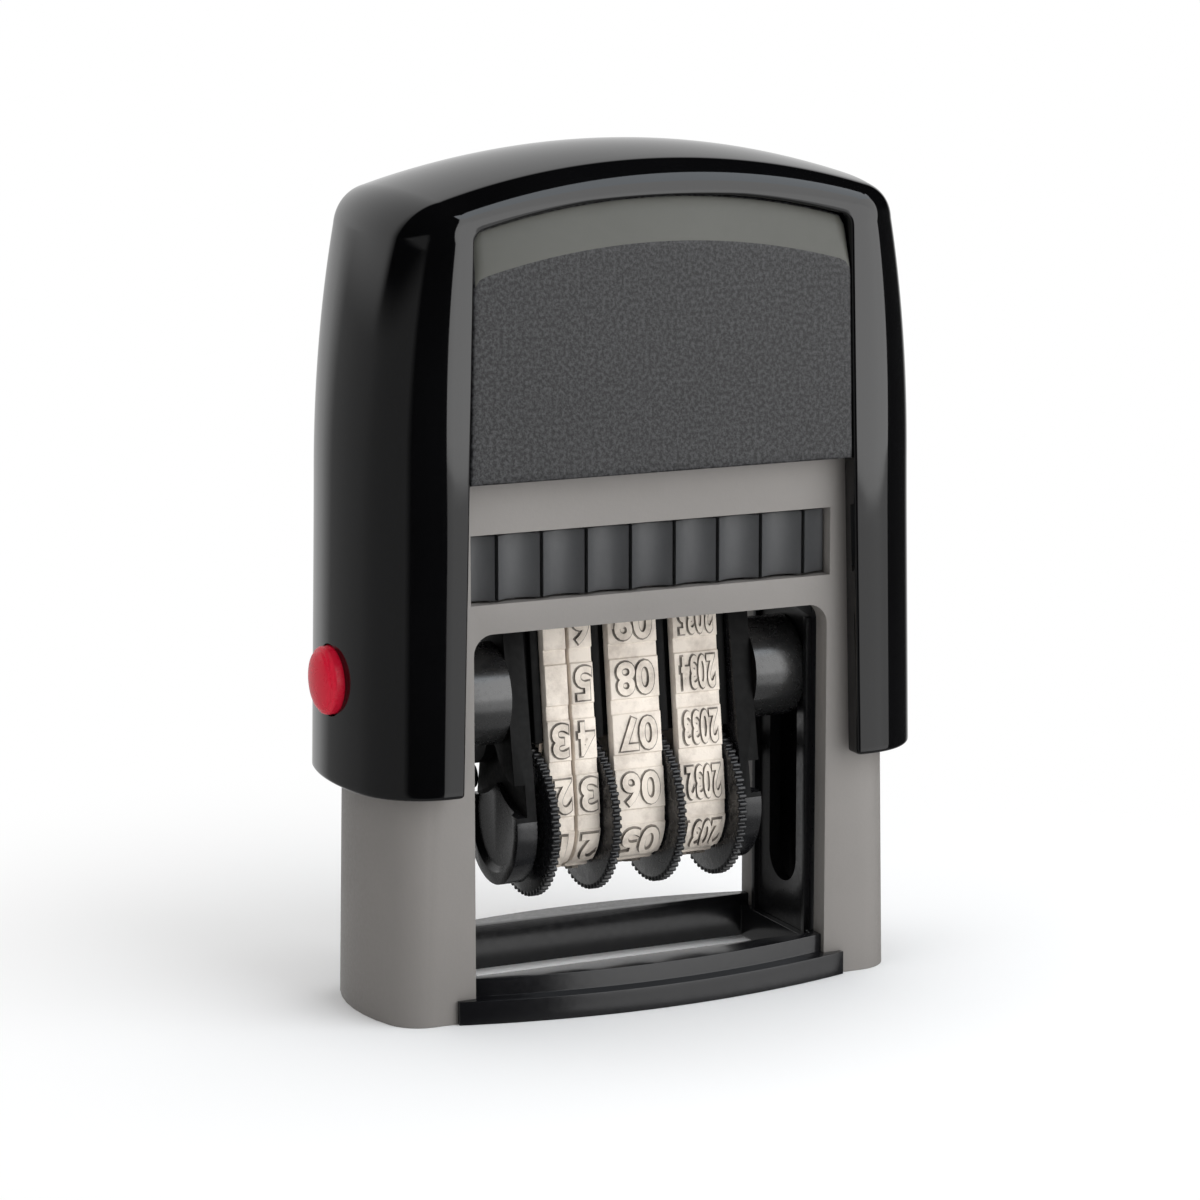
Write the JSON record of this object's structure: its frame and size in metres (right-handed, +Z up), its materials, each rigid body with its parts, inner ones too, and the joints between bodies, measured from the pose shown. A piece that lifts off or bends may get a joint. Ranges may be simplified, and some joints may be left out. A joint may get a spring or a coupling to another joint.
{
  "type": "self-inking date stamp",
  "caption": "Self-inking date stamp: an arched cap pressed over a windowed housing turns a carriage of settable date bands from the ink pad onto the paper.",
  "frame": {"origin": "middle of the base, on the surface that the stamp stands on", "axes": "+Z up, +X to the right seen from the front, -Y the front"},
  "size_m": [0.0572, 0.0228, 0.0757],
  "materials": {
    "cap": "glossy black moulding",
    "label": "fine grained dark grey",
    "button": "smooth red moulding",
    "inner": "black moulding",
    "spring": "bright drawn wire",
    "housing": "satin light grey moulding",
    "base": "smooth black moulding",
    "tray": "satin charcoal moulding",
    "felt": "felt soaked with dark ink",
    "carriage": "black moulding",
    "axle": "ground steel rod",
    "wheel": "black toothed moulding",
    "band": "cream rubber with raised type"
  },
  "bodies": {
    "housing_body": {"housing": "housing", "left_guide_insert": "inner", "right_guide_insert": "inner", "base_ring": "base", "return_spring": "spring"},
    "cap": {"cap_shell": "cap", "front_label_plate": "label", "rear_label_plate": "label", "drive_yoke": "inner"},
    "left_button": {"left_lock_button": "button"},
    "right_button": {"right_lock_button": "button"},
    "ink_cartridge": {"ink_tray": "tray", "ink_pad": "felt"},
    "carriage": {"left_carriage_plate": "carriage", "right_carriage_plate": "carriage", "platen": "carriage", "wheel_axle": "axle", "day_tens_band": "band", "day_units_band": "band", "month_band": "band", "year_band": "band"},
    "day_tens": {"day_tens_wheel": "wheel"},
    "day_units": {"day_units_wheel": "wheel"},
    "month": {"month_wheel": "wheel"},
    "year": {"year_wheel": "wheel"}
  },
  "joints": [
    {"name": "cap_press", "type": "slide", "parent": "housing_body", "child": "cap", "axis": [0, 0, -1], "range_m": [0, 0.0178], "stiffness_N_per_m": 450, "springref_m": -0.006, "deforming": ["return_spring"]},
    {"name": "carriage_flip", "type": "hinge", "parent": "cap", "child": "carriage", "pos_m": [0, 0, 0.0273], "axis": [1, 0, 0], "range_deg": [0, 180]},
    {"name": "cartridge_slide", "type": "slide", "parent": "housing_body", "child": "ink_cartridge", "axis": [0, -1, 0], "range_m": [0, 0.024]},
    {"name": "left_button_push", "type": "slide", "parent": "cap", "child": "left_button", "axis": [1, 0, 0], "range_m": [0, 0.0005], "stiffness_N_per_m": 500, "springref_m": -0.001},
    {"name": "right_button_push", "type": "slide", "parent": "cap", "child": "right_button", "axis": [-1, 0, 0], "range_m": [0, 0.0005], "stiffness_N_per_m": 500, "springref_m": -0.001},
    {"name": "day_tens_spin", "type": "hinge", "parent": "carriage", "child": "day_tens", "pos_m": [0, 0, 0.0156], "axis": [1, 0, 0], "continuous": true},
    {"name": "day_units_spin", "type": "hinge", "parent": "carriage", "child": "day_units", "pos_m": [0, 0, 0.0156], "axis": [1, 0, 0], "continuous": true},
    {"name": "month_spin", "type": "hinge", "parent": "carriage", "child": "month", "pos_m": [0, 0, 0.0156], "axis": [1, 0, 0], "continuous": true},
    {"name": "year_spin", "type": "hinge", "parent": "carriage", "child": "year", "pos_m": [0, 0, 0.0156], "axis": [1, 0, 0], "continuous": true}
  ],
  "couplings": [
    {"joint": "carriage_flip", "follows": "cap_press", "rad_per_m": 176.49}
  ]
}
